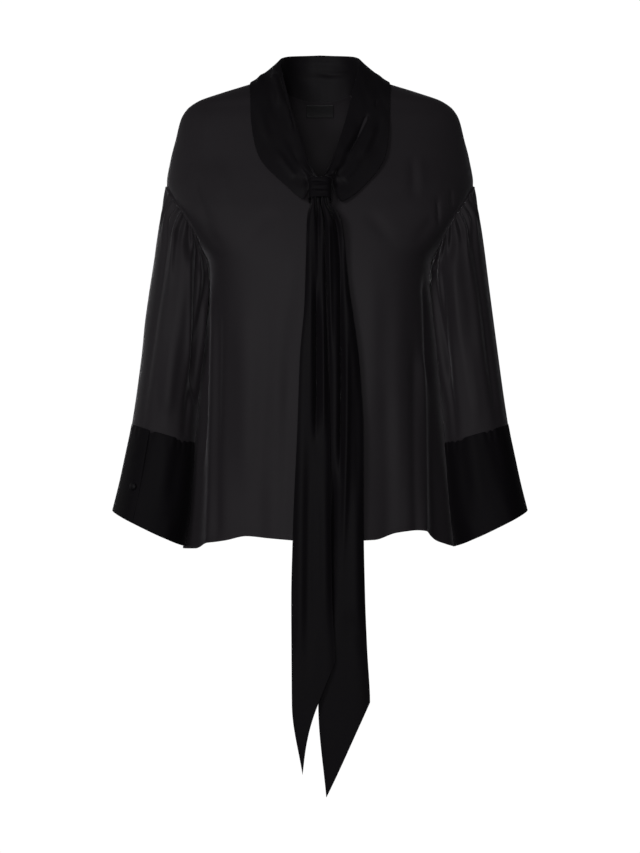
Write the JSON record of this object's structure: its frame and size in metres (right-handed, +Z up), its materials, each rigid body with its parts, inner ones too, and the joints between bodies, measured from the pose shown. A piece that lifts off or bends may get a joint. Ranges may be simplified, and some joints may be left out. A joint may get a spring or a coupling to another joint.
{
  "type": "tie-neck blouse",
  "caption": "Loose crepe blouse filled out as if worn, with dropped shoulders, full sleeves in deep flared cuffs, and a scarf collar drawn through a keeper into long slanted tails.",
  "frame": {"origin": "midway between the two points where the shoulder lines meet the neck, where the wearer's shoulders hold the blouse up", "axes": "+Z up, -Y out of the wearer's chest, +X to the wearer's left"},
  "size_m": [0.6136, 0.3069, 1.0979],
  "materials": {
    "crepe": "matt, soft sheen at grazing light",
    "doubled_crepe": "matt, soft sheen at grazing light",
    "satin_label": "satin"
  },
  "bodies": {
    "root": {"front": "crepe", "back": "crepe", "sleeve_left": "crepe", "sleeve_right": "crepe", "cuff_left": "doubled_crepe", "cuff_right": "doubled_crepe", "cuff_button_left": "doubled_crepe", "cuff_button_right": "doubled_crepe", "collar": "doubled_crepe", "tie_left": "doubled_crepe", "tie_right": "doubled_crepe", "tie_keeper": "doubled_crepe", "neck_label": "satin_label"}
  },
  "joints": []
}
